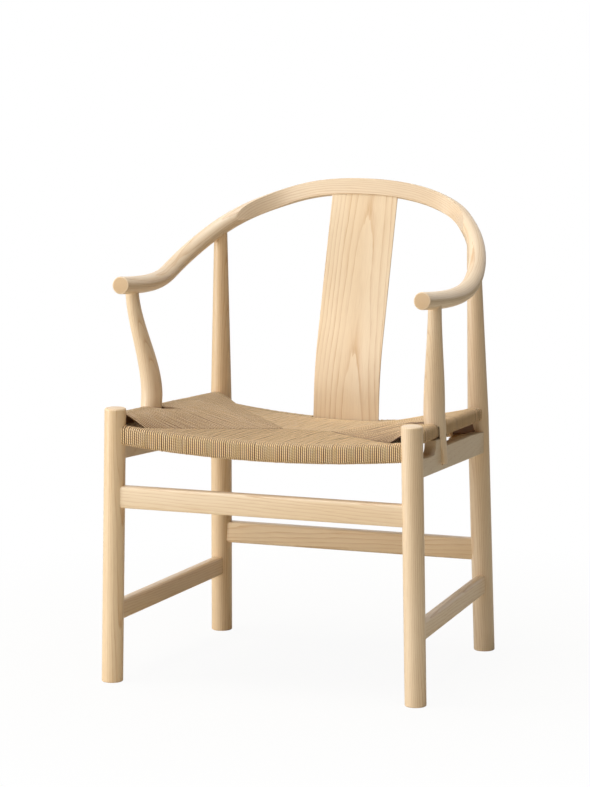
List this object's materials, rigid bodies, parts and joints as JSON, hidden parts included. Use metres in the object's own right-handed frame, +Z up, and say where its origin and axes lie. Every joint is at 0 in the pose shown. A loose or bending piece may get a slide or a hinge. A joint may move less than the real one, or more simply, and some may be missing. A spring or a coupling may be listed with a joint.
{
  "type": "armchair",
  "caption": "Wooden armchair with one bent horseshoe bow as back rest and arms, a flat splat, curved arm posts and a woven paper cord seat.",
  "frame": {"origin": "on the floor, in the middle of the chair's outline", "axes": "+Z up, +X to the right as seen from the front, -Y towards the front"},
  "size_m": [0.5722, 0.552, 0.8004],
  "materials": {
    "oiled_ash": "oiled, fine sanded",
    "paper_cord": "twisted paper cord, unbleached"
  },
  "bodies": {
    "root": {"horseshoe_bow": "oiled_ash", "back_splat": "oiled_ash", "front_seat_rail": "oiled_ash", "rear_seat_rail": "oiled_ash", "front_stretcher": "oiled_ash", "rear_stretcher": "oiled_ash", "front_right_leg": "oiled_ash", "front_left_leg": "oiled_ash", "rear_right_leg": "oiled_ash", "rear_left_leg": "oiled_ash", "right_arm_post": "oiled_ash", "left_arm_post": "oiled_ash", "right_seat_rail": "oiled_ash", "left_seat_rail": "oiled_ash", "right_apron": "oiled_ash", "left_apron": "oiled_ash", "right_stretcher": "oiled_ash", "left_stretcher": "oiled_ash", "woven_seat": "paper_cord"}
  },
  "joints": []
}
